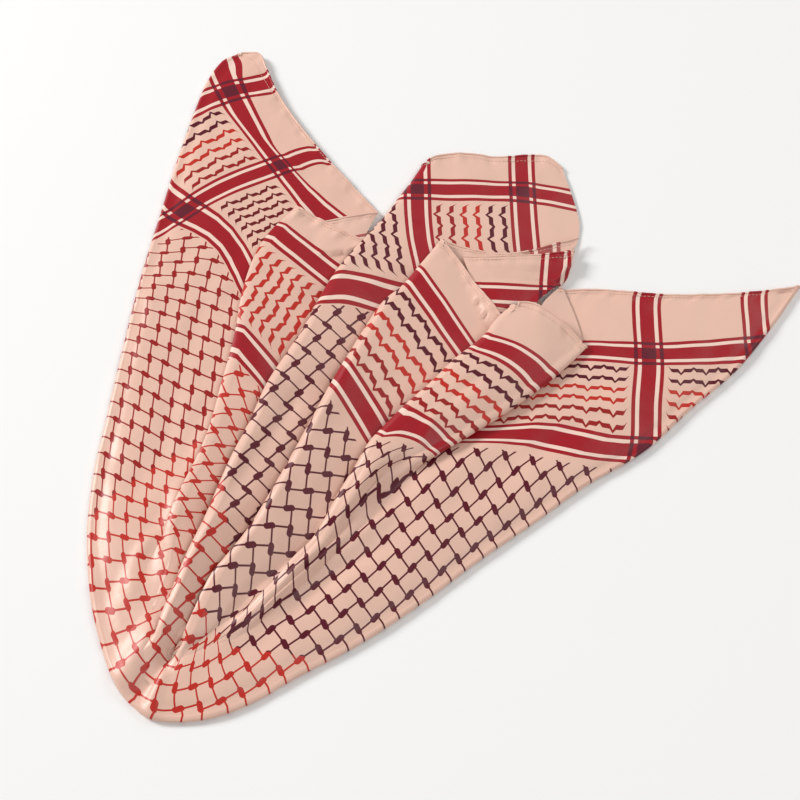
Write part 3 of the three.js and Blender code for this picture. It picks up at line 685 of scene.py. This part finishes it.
@dataclass
class Stretch:
    """One stretch of cloth that shows: its fine grid, its print and its mesh. `nose` and `merges`
    are pairs of rows: the stretch grows out of the cloth below it between the rows of its nose, and
    its left and right side run into their neighbours up to the rows of its merges. `links` are
    places in plan where its print meets that of its right neighbour."""

    name: str
    rows: list
    kinds: tuple
    hems: tuple
    anchors: list
    along_u: tuple = None
    mirror: bool = False
    nose: tuple = None
    merges: tuple = (None, None)
    neighbours: tuple = (None, None)
    links: tuple = ()
    nodes: tuple = ()
    is_return: bool = False
    pucker: float = 1.0
    seed: float = 1.0

    def lay(self, probe):
        """Rest the stretch on what is below it, then give it its print and its relief."""
        table = np.array(self.rows, float)
        width = np.linalg.norm(table[:, 3:5] - table[:, 0:2], axis=1).max()
        count = max(8, int(width / STEP_ACROSS_MM))
        places = np.array(stations(self.rows, bool(self.hems[0]), bool(self.hems[1])))
        made = [section(self, t, probe, count) for t in places]
        grid = np.array([line for line, _, _, _ in made])
        joined = np.array([weights for _, _, _, weights in made])
        _, first, closing, _ = made[0]
        self.top = slice(first, grid.shape[1] - closing)
        uv = self.own_print(grid, first, closing)
        if self.nose:
            grown = 1 - eased_between(places, *self.nose)[:, None]
            below = probe.soft(grid[:, :, 0], grid[:, :, 1])
            grid[:, :, 2] = below - SUNK_MM * (1 - grown) + (grid[:, :, 2] - below) * grown
            joined[:, :, 1] = 1 - (1 - joined[:, :, 1]) * grown
        for side, neighbour in enumerate(self.neighbours):
            shared = smooth((joined[:, :, side] - PRINT_OWN) / (1 - PRINT_OWN))
            mixed = shared > TRACE
            if neighbour and mixed.any():
                share = shared[mixed][:, None]
                uv[mixed] += share * (neighbour.prints_at(grid[mixed][:, :2]) - uv[mixed])
        self.uv = uv
        joined = joined.max(axis=2)
        grid[:, :, 2] += self.relief(grid, 1 - joined)
        floor = probe.under(grid[:, :, 0], grid[:, :, 1]) + REST_MM
        open_side = (grid_normals(grid)[:, :, 2] > FACES_UP) & (joined <= TRACE)
        grid[:, :, 2] = np.where(open_side, np.maximum(grid[:, :, 2], floor), grid[:, :, 2])
        self.grid = grid
        seen = grid[:, self.top].reshape(-1, 3)
        self.tree = KDTree(len(seen))
        for k, (x, y, _) in enumerate(seen):
            self.tree.insert((x, y, 0), k)
        self.tree.balance()
        probe.record(grid)

    def own_print(self, grid, first, closing):
        """The print of the stretch by itself, settled on its anchors and links."""
        linked = self.neighbours[1].prints_at(np.array(self.links, float)) if self.links else []
        anchors = self.anchors + [(x, y, u, v) for (x, y), (u, v) in zip(self.links, linked)]
        if self.along_u is None:
            uv = fold_print(grid, closing)
        else:
            full = [anchor for anchor in self.anchors if None not in anchor] or self.anchors
            x, y, *start = full[0]
            start = [value or 0.0 for value in start]
            uv = turned_print(grid, first, closing, self.along_u, self.mirror, (x, y), start)
        return settle_print(grid, uv, self.top, anchors)

    def relief(self, grid, free):
        """Lift of creases, unevenness and hems, in mm, where the cloth faces up; `free` is 1 where
        the stretch is clear of its neighbours."""
        upward = np.clip(grid_normals(grid)[:, :, 2], 0, 1) ** 2
        lift = (crease_heights(grid, CREASES) + undulation(grid)) * free
        run = np.linalg.norm(np.diff(grid, axis=0), axis=2)
        across = np.linalg.norm(np.diff(grid, axis=1), axis=2)
        lengths = np.concatenate([np.zeros((len(grid), 1)), np.cumsum(across, axis=1)], axis=1)
        zero = np.zeros((1, grid.shape[1]))
        from_start = np.concatenate([zero, np.cumsum(run, axis=0)])
        from_end = np.concatenate([np.cumsum(run[::-1], axis=0)[::-1], zero])
        for hem, distance in zip(self.hems, (from_start, from_end)):
            if hem:
                lift += hem_profile(distance, lengths, self.seed, self.pucker)
        return np.maximum(lift * upward, -DEEPEST_MM)

    def prints_at(self, points):
        """The print at places in plan, carried on from the nearest point of the stretch."""
        flat = self.grid[:, self.top, :2]
        near = [self.tree.find((x, y, 0))[1] for x, y in points]
        j, i = np.unravel_index(near, flat.shape[:2])
        return carried_print(flat, self.uv[:, self.top], j, i, points)

    def hem_paths(self):
        """For each hem, its edge and the stitch line inside it, as points in mm with cloth
        coordinates."""
        found = []
        for hem, end in zip(self.hems, (0, -1)):
            if not hem:
                continue
            apart = self.grid[:, :, :2] - self.grid[end][None, :, :2]
            gap = np.linalg.norm(apart, axis=2).mean(axis=1)
            row = int(np.argmin(np.abs(gap - (HEM_FOLD_MM - STITCH_IN_MM))))
            found.append([list(zip(self.grid[k], self.uv[k])) for k in (end, row)])
        return found


def sheet_mesh(stretch):
    n, m = stretch.grid.shape[:2]
    points = (stretch.grid.reshape(-1, 3) * MM).tolist()
    faces = []
    for j in range(n - 1):
        for i in range(m - 1):
            a = j * m + i
            faces.append((a, a + 1, a + m + 1, a + m))
    return points, faces, stretch.uv.reshape(-1, 2) / CM_PER_M


def tube_mesh(path, radius, sides=8):
    """A round edge along the hem, carrying the print of the cloth beside it."""
    points = np.array([p for p, _ in path])
    coords = np.array([c for _, c in path]) / CM_PER_M
    tangent = np.gradient(points, axis=0)
    tangent /= np.maximum(np.linalg.norm(tangent, axis=1, keepdims=True), TINY)
    side = np.cross(tangent, (0, 0, 1))
    side /= np.maximum(np.linalg.norm(side, axis=1, keepdims=True), TINY)
    top = np.cross(side, tangent)
    made, uvs, faces = [], [], []
    for k in range(len(points)):
        wobble = 1 + TUBE_WOBBLE * math.sin(k * TUBE_WOBBLE_TURN)
        for s in range(sides):
            angle = 2 * math.pi * s / sides
            offset = side[k] * math.cos(angle) * wobble + top[k] * math.sin(angle) * TUBE_FLATNESS
            made.append((points[k] + radius * offset) * MM)
            uvs.append(coords[k])
    for k in range(len(points) - 1):
        for s in range(sides):
            a, b = k * sides + s, k * sides + (s + 1) % sides
            faces.append((a, a + sides, b + sides, b))
    return [list(p) for p in made], faces, np.array(uvs)


def make_object(name, parts, material):
    """One mesh object from (points, faces, cloth coordinates) parts."""
    points, faces, coords = [], [], []
    for more_points, more_faces, more_coords in parts:
        base = len(points)
        points += more_points
        faces += [tuple(base + i for i in face) for face in more_faces]
        coords.append(np.asarray(more_coords))
    mesh = bpy.data.meshes.new(name)
    mesh.from_pydata(points, [], faces)
    layer = mesh.uv_layers.new(name="cloth")
    all_coords = np.concatenate(coords)
    loops = np.zeros(len(mesh.loops), int)
    mesh.loops.foreach_get("vertex_index", loops)
    layer.data.foreach_set("uv", all_coords[loops].ravel())
    mesh.polygons.foreach_set("use_smooth", [True] * len(mesh.polygons))
    mesh.materials.append(material)
    made = bpy.data.objects.new(name, mesh)
    bpy.context.collection.objects.link(made)
    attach(made, "root")
    return made


def stitch_parts(path):
    """Short stitches along a line on the cloth, each of them bowed up in its middle."""
    points = np.array([p for p, _ in path])
    runs = np.concatenate([[0], np.cumsum(np.linalg.norm(np.diff(points, axis=0), axis=1))])
    ends_up = np.array([0, 0, STITCH_ENDS_UP_MM])
    middle_up = np.array([0, 0, STITCH_RADIUS_MM * 0.9])
    parts = []
    for start in np.arange(STITCH_STEP_MM, runs[-1] - STITCH_STEP_MM, STITCH_STEP_MM):
        here = np.array([np.interp(start, runs, points[:, k]) for k in range(3)])
        there = np.array([np.interp(start + STITCH_LONG_MM, runs, points[:, k]) for k in range(3)])
        line = [here + ends_up, (here + there) / 2 + middle_up, there + ends_up]
        parts.append(tube_mesh([(p, (0.5, 0.5)) for p in line], STITCH_RADIUS_MM, 5))
    return parts


EDGE_SOFT = 0.012
NET_SOFT = 0.008


class Value:
    """A number or a colour in the shader. Arithmetic on numbers adds Math nodes."""

    def __init__(self, tree, socket):
        self.tree = tree
        self.socket = socket

    def math(self, operation, *others, clamp=False):
        node = self.tree.nodes.new("ShaderNodeMath")
        node.operation = operation
        node.use_clamp = clamp
        for socket, value in zip(node.inputs, (self,) + others):
            if isinstance(value, Value):
                self.tree.links.new(value.socket, socket)
            else:
                socket.default_value = value
        return Value(self.tree, node.outputs[0])

    def __add__(self, other):
        return self.math("ADD", other)

    def __sub__(self, other):
        return self.math("SUBTRACT", other)

    def __rsub__(self, other):
        return self.math("MULTIPLY_ADD", -1.0, other)

    def __mul__(self, other):
        return self.math("MULTIPLY", other)

    def __truediv__(self, other):
        return self.math("DIVIDE", other)

    def __abs__(self):
        return self.math("ABSOLUTE")

    __radd__ = __add__
    __rmul__ = __mul__

    def low(self, other):
        return self.math("MINIMUM", other)

    def high(self, other):
        return self.math("MAXIMUM", other)

    def clamped(self):
        return self.math("ADD", 0.0, clamp=True)

    def below(self, limit, soft=EDGE_SOFT):
        """1 below the limit and 0 above it, with a soft edge in cm."""
        return (limit - self).math("MULTIPLY_ADD", 1 / (2 * soft), 0.5, clamp=True)

    def above(self, limit):
        return 1 - self.below(limit)

    def nearest_of(self, start, step):
        """Signed distance to the nearest of start, start + step and so on."""
        moved = (self - start) / step
        return (moved - moved.math("ROUND")) * step


def blend(tree, share, a, b):
    """Colour a with b over it by the share. Each may be a constant or a Value."""
    node = tree.nodes.new("ShaderNodeMix")
    node.data_type = "RGBA"
    for socket, value in zip((node.inputs[0], node.inputs[6], node.inputs[7]), (share, a, b)):
        if isinstance(value, Value):
            tree.links.new(value.socket, socket)
        elif isinstance(value, tuple):
            socket.default_value = value + (1.0,)
        else:
            socket.default_value = value
    return Value(tree, node.outputs[2])


def from_srgb(r, g, b):
    lin = lambda c: c / 12.92 if c <= 0.04045 else ((c + 0.055) / 1.055) ** 2.4
    return tuple(lin(c / 255) for c in (r, g, b))


GROUND = from_srgb(231, 189, 170)
GROUND_PALE = from_srgb(241, 210, 194)
RETURN_TINT = from_srgb(214, 176, 162)
BAND_RED = from_srgb(160, 22, 34)
CROSSING = from_srgb(98, 26, 42)
MAROON = from_srgb(88, 12, 32)
BRIGHT_RED = from_srgb(190, 42, 32)
RUST = from_srgb(152, 28, 28)
WAVE_BROWN = from_srgb(108, 18, 24)

# The print, in cm on the cloth. Places of bands and rows are distances from the nearer hem.
OUTER_BAND = 5.2
INNER_BAND = 15.0
THICK_HALF = 0.62
THIN_PLACE = 1.115
THIN_HALF = 0.165
STRIP_STEP = 1.2
STRIP_END = 16.6
STRIP_MIDDLE = 10.1
STRIP_RED = 8.97
STRIP_RUST = 11.23
STRIP_INK_END = 14.0
ROWS_START = 6.5
ROWS_END = 13.7
ROWS_PAST = 16.7
WAVE_STEP = 1.11
WAVE_PERIOD = 2.18
WAVE_FIRST = 17.75
WAVE_HALF = 0.2
WAVE_NOTCH = 0.4
WAVE_PEAK = 0.23
WAVE_CURL = 0.3
NOTCH_HALF = 0.27
PEAK_HALF = 0.24
CURL_START = 0.3
CURL_LONG = 0.5
WAVE_THINS = 0.07
WAVE_TAPER = 2.6
NET_START_U = 16.93
NET_START_V = 16.4
NET_STEP = 1.08
NET_FIRST_U = 17.45
NET_FIRST_V = 16.95
STRAND_HALF = 0.045
STRAND_SLANT = 0.14
KNOT_HALF = 0.17
KNOT_ROUND = 0.135
KNOT_SLANT = 0.3
KNOT_SHARE = 0.96
THIRD_LOW = 35.5
THIRD_HIGH = 53.2
WAVE_LAG = 2.8


def print_colour(tree):
    """The printed cloth as a colour: bands, wave rows and net, from cloth coordinates in cm."""
    uv = tree.nodes.new("ShaderNodeUVMap")
    uv.uv_map = "cloth"
    split = tree.nodes.new("ShaderNodeSeparateXYZ")
    tree.links.new(uv.outputs[0], split.inputs[0])
    u, v = (Value(tree, split.outputs[k]) * CM_PER_M for k in (0, 1))
    du, dv = u.low(SQUARE_CM - u), v.low(SQUARE_CM - v)

    def bands(d):
        away = abs(d - OUTER_BAND).low(abs(d - INNER_BAND))
        thin = abs(away - THIN_PLACE).below(THIN_HALF)
        return away.below(THICK_HALF).high(thin), away.below(THIN_PLACE + THIN_HALF), away

    ink_u, whole_u, _ = bands(du)
    ink_v, whole_v, away_v = bands(dv)
    whole = whole_u.high(whole_v)

    # Wave rows: bars at constant u with a deep notch and a small peak in each period along v.
    # The notches point the same way along u all over the square.
    row_strip = (du - STRIP_MIDDLE) / STRIP_STEP
    row_field = (du - SQUARE_CM / 2) / WAVE_STEP + 0.5
    cell_strip = (row_strip.math("FRACT") - 0.5) * STRIP_STEP
    cell_field = (row_field.math("FRACT") - 0.5) * WAVE_STEP
    across = cell_field + du.below(STRIP_END) * (cell_strip - cell_field)
    along = dv - (dv.above(INNER_BAND) * (WAVE_FIRST - STRIP_MIDDLE) + STRIP_MIDDLE)
    notch = abs(along.nearest_of(0.0, WAVE_PERIOD))
    peak = abs(along.nearest_of(WAVE_PERIOD / 2, WAVE_PERIOD))
    notch_rise = (1 - notch / NOTCH_HALF).high(0.0)
    peak_rise = (1 - peak / PEAK_HALF).high(0.0)
    past_end = away_v - (THIN_PLACE + THIN_HALF + CURL_START)
    curl = (1 - past_end / CURL_LONG).clamped()
    line = notch_rise * WAVE_NOTCH - peak_rise * WAVE_PEAK - curl * curl * WAVE_CURL
    line = line * (1 - u.above(SQUARE_CM / 2) * 2)
    half = (WAVE_HALF - notch_rise.high(peak_rise) * WAVE_THINS) * (past_end * WAVE_TAPER).clamped()
    wave = (abs(across - line) - half).below(0.0)
    in_rows = du.above(ROWS_START) * du.below(ROWS_END)
    past_rows = du.above(ROWS_PAST) * dv.below(ROWS_END)
    wave = wave * in_rows.high(past_rows) * dv.above(ROWS_START)

    # Net: knots on a square lattice turned 45 degrees. A strand runs straight through the knots
    # that lie along it and jogs at the others.
    a = (u - NET_FIRST_U) / NET_STEP
    b = (v - NET_FIRST_V) / NET_STEP

    def strands(run, side, odd):
        place = side.math("ROUND")
        parity = abs(place + odd).math("MODULO", 2.0)
        from_knot = (run - parity).nearest_of(0.0, 2.0)
        off = side - place
        strand = abs(off + from_knot * STRAND_SLANT).below(STRAND_HALF, NET_SOFT)
        beyond = (abs(from_knot - off * KNOT_SLANT) * KNOT_SHARE - KNOT_HALF).high(0.0)
        aside = (off + from_knot * KNOT_SLANT) * KNOT_SHARE
        reach = (beyond * beyond + aside * aside).math("SQRT")
        return strand.high(reach.below(KNOT_ROUND, NET_SOFT))

    p, q = (a + b) * 0.5, (b - a) * 0.5
    net = strands(p, q, 0).high(strands(q, p, 1))
    net = net * du.above(NET_START_U) * dv.above(NET_START_V)

    in_strip = du.below(STRIP_INK_END)
    shade = blend(tree, u.above(THIRD_LOW), MAROON, BRIGHT_RED)
    last_third = u.above(wave * WAVE_LAG + THIRD_HIGH)
    shade = blend(tree, last_third, shade, RUST)
    strip = blend(tree, du.above(STRIP_RED), MAROON, BRIGHT_RED)
    strip = blend(tree, du.above(STRIP_RUST), strip, RUST)
    motif = blend(tree, in_strip, shade, strip)
    motif = blend(tree, wave * last_third * (1 - in_strip), motif, WAVE_BROWN)

    colour = blend(tree, whole, GROUND, GROUND_PALE)
    colour = blend(tree, wave.high(net) * (1 - whole), colour, motif)
    colour = blend(tree, ink_u.high(ink_v), colour, BAND_RED)
    return blend(tree, ink_u * ink_v, colour, CROSSING)


def satin(name, roughness, dull):
    material = bpy.data.materials.new(name)
    material.use_nodes = True
    tree = material.node_tree
    shader = tree.nodes["Principled BSDF"]
    colour = print_colour(tree)
    if dull > 0:
        colour = blend(tree, dull, colour, RETURN_TINT)
    tree.links.new(colour.socket, shader.inputs["Base Color"])
    shader.inputs["Roughness"].default_value = roughness
    shader.inputs["Specular IOR Level"].default_value = 0.42
    shader.inputs["Specular Tint"].default_value = (1.0, 0.94, 0.91, 1.0)
    shader.inputs["Anisotropic"].default_value = 0.6
    shader.inputs["Sheen Weight"].default_value = 0.03
    tangent = tree.nodes.new("ShaderNodeTangent")
    tangent.direction_type = "UV_MAP"
    tangent.uv_map = "cloth"
    tree.links.new(tangent.outputs[0], shader.inputs["Tangent"])
    place = tree.nodes.new("ShaderNodeTexCoord")
    noise = tree.nodes.new("ShaderNodeTexNoise")
    noise.inputs["Scale"].default_value = 38.0
    noise.inputs["Detail"].default_value = 3.0
    noise.inputs["Roughness"].default_value = 0.55
    tree.links.new(place.outputs["Object"], noise.inputs["Vector"])
    bump = tree.nodes.new("ShaderNodeBump")
    bump.inputs["Strength"].default_value = 0.4
    bump.inputs["Distance"].default_value = 0.0022
    tree.links.new(noise.outputs["Fac"], bump.inputs["Height"])
    tree.links.new(bump.outputs["Normal"], shader.inputs["Normal"])
    return material


def plain(name, colour, roughness):
    material = bpy.data.materials.new(name)
    material.use_nodes = True
    shader = material.node_tree.nodes["Principled BSDF"]
    shader.inputs["Base Color"].default_value = colour + (1.0,)
    shader.inputs["Roughness"].default_value = roughness
    return material


face_cloth = satin("satin_face", 0.38, 0.0)
return_cloth = satin("satin_return", 0.46, 0.2)
thread = plain("hem_thread", from_srgb(226, 184, 165), 0.6)

base = Stretch(
    "base_sheet", BASE, ("plain", "floor"), (LEFT_TAIL_HEM, RIGHT_TAIL_HEM), BASE_PRINT,
    nodes=("left_panel", "right_panel"), seed=1.3,
)
STRETCHES = [
    base,
    Stretch(
        "left_return", LEFT_RETURN, ("plain", "plain"), (None, LEFT_RETURN_HEM), LEFT_RETURN_PRINT,
        (0.95, 0.3), mirror=True, is_return=True, seed=2.0,
    ),
    Stretch(
        "inner_left_pleat", INNER_LEFT_PLEAT, ("ridge", "plain"), (None, INNER_LEFT_HEM),
        INNER_LEFT_PRINT, (-0.9, 0.4), nose=(1.0, 3.2), merges=((2.2, 3.8), None),
        neighbours=(base, base), pucker=2.6, seed=3.1,
        links=(
            (-243, -245), (-236, -215), (-231, -190), (-226, -172), (-225, -232), (-216, -212),
            (-212, -190),
        ),
    ),
    Stretch(
        "tail_return", TAIL_RETURN, ("plain", "plain"), (None, TAIL_RETURN_HEM), TAIL_RETURN_PRINT,
        (-0.9, -0.4), mirror=True, is_return=True, seed=0.9,
    ),
    Stretch(
        "middle_pleat", MIDDLE_PLEAT, ("ridge", "plain"), (None, TOP_CORNER_HEM), MIDDLE_PRINT,
        (-1, 0.1), nose=(0.2, 2.4), merges=((1.2, 2.6), (1.0, 3.0)),
        neighbours=(base, base), seed=5.2,
        links=((-232, -264), (-224, -275), (-220, -262)),
    ),
    Stretch(
        "corner_return", CORNER_RETURN, ("plain", "plain"), (None, CORNER_RETURN_HEM),
        CORNER_RETURN_PRINT, (0, -1), mirror=True, is_return=True, seed=0.2,
    ),
    Stretch(
        "corner_flap", CORNER_FLAP, ("plain", "ridge"), (None, CORNER_FLAP_HEM), CORNER_FLAP_PRINT,
        (-0.1, -1), mirror=True, seed=2.6,
    ),
    Stretch(
        "right_pleat", RIGHT_PLEAT, ("ridge", "plain"), (None, RIGHT_HEM), RIGHT_PLEAT_PRINT,
        (-0.8, -0.6), nose=(0.0, 2.2), merges=((0.4, 1.8), (3.0, 5.4)),
        neighbours=(base, base), seed=4.4,
        links=((-211, -272), (-200, -266), (-182, -256), (-165, -245)),
    ),
    Stretch(
        "front_pleat", FRONT_PLEAT, ("ridge", "ridge"), (None, FRONT_HEM), FRONT_PLEAT_PRINT,
        (-0.6, -0.8), nose=(0.5, 4.5), merges=((1.8, 3.6), (8.5, 11.5)),
        neighbours=(None, base), seed=1.9,
        links=(
            (-198, -262), (-171, -252), (-136, -226), (-112, -206), (-84, -176), (-58, -148),
            (-34, -124),
        ),
    ),
]


def cut_size(grid):
    """Width, length and area of a shell laid flat, in m and square m."""
    across = np.linalg.norm(np.diff(grid, axis=1), axis=2).sum(axis=1)
    along = np.linalg.norm(np.diff(grid, axis=0), axis=2).sum(axis=0)
    corners = np.cross(grid[1:, 1:] - grid[:-1, :-1], grid[1:, :-1] - grid[:-1, 1:])
    area = 0.5 * np.linalg.norm(corners, axis=2).sum()
    return float(across.max()) * MM, float(along.max()) * MM, float(area) * MM * MM


probe = HeightProbe()
for stretch in STRETCHES:
    stretch.lay(probe)
    material = return_cloth if stretch.is_return else face_cloth
    hems = stretch.hem_paths()
    parts = [sheet_mesh(stretch)] + [tube_mesh(edge, HEM_TUBE_MM) for edge, _ in hems]
    cloth = make_object(f"{stretch.name}_cloth", parts, material)
    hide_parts(*(stretch.nodes or [stretch.name]))
    flat_width, flat_length, area = cut_size(stretch.grid)
    sewn = []
    for _, stitch in hems:
        sewn += stitch_parts(stitch)
    make_object(f"{stretch.name}_stitches", sewn, thread)


def hidden_stack(source):
    """The folded layers nobody sees, kept well below the cloth over them."""
    mesh = source.data.copy()
    for vertex in mesh.vertices:
        vertex.co.z *= INNER_SHARE
    mesh.materials.clear()
    mesh.materials.append(plain("inner_satin", GROUND, 0.5))
    made = bpy.data.objects.new("hidden_stack", mesh)
    bpy.context.collection.objects.link(made)
    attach(made, "root")
    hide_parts("hidden_layers")


hidden_stack(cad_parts["hidden_layers"])

FLOOR_SIDE = 8
FLOOR_DROP = 0.0002
floor_material = plain("table_white", (0.92, 0.915, 0.905), 0.7)
bpy.ops.mesh.primitive_plane_add(size=FLOOR_SIDE, location=(0, 0, -FLOOR_DROP))
floor = bpy.context.object
floor.name = "floor"
floor.data.materials.append(floor_material)


def area_light(name, place, size, power):
    """A soft light that faces the middle of the table. Place and size in m, power in watts."""
    data = bpy.data.lights.new(name, "AREA")
    data.shape = "RECTANGLE"
    data.size, data.size_y = size
    data.energy = power
    lamp = bpy.data.objects.new(name, data)
    lamp.location = place
    lamp.rotation_mode = "QUATERNION"
    lamp.rotation_quaternion = (-Vector(place)).to_track_quat("-Z", "Y")
    bpy.context.collection.objects.link(lamp)


area_light("window", (-3.4, 1.6, 2.2), (1.3, 1.3), 155)
area_light("front_fill", (0.8, -1.3, 2.3), (2.0, 1.2), 19)
area_light("back_fill", (1.7, 1.3, 2.0), (1.6, 1.2), 15)
world = bpy.data.worlds.new("studio")
world.use_nodes = True
world.node_tree.nodes["Background"].inputs["Color"].default_value = (1.0, 0.99, 0.975, 1.0)
world.node_tree.nodes["Background"].inputs["Strength"].default_value = 0.3
bpy.context.scene.world = world

CAMERA_ELEVATION = math.radians(62)
CAMERA_HEIGHT = 0.92
CAMERA_AIM = (-0.048, -0.053)
CAMERA_SENSOR_MM = 36
CAMERA_LENS_MM = 59.4
camera_data = bpy.data.cameras.new("camera")
camera_data.sensor_width = CAMERA_SENSOR_MM
camera_data.lens = CAMERA_LENS_MM
camera_data.dof.use_dof = False
camera = bpy.data.objects.new("camera", camera_data)
reach = CAMERA_HEIGHT / math.tan(CAMERA_ELEVATION)
camera.location = (CAMERA_AIM[0], CAMERA_AIM[1] - reach, CAMERA_HEIGHT)
camera.rotation_euler = (math.pi / 2 - CAMERA_ELEVATION, 0, 0)
bpy.context.collection.objects.link(camera)
bpy.context.scene.camera = camera
bpy.context.scene.view_settings.view_transform = "Standard"
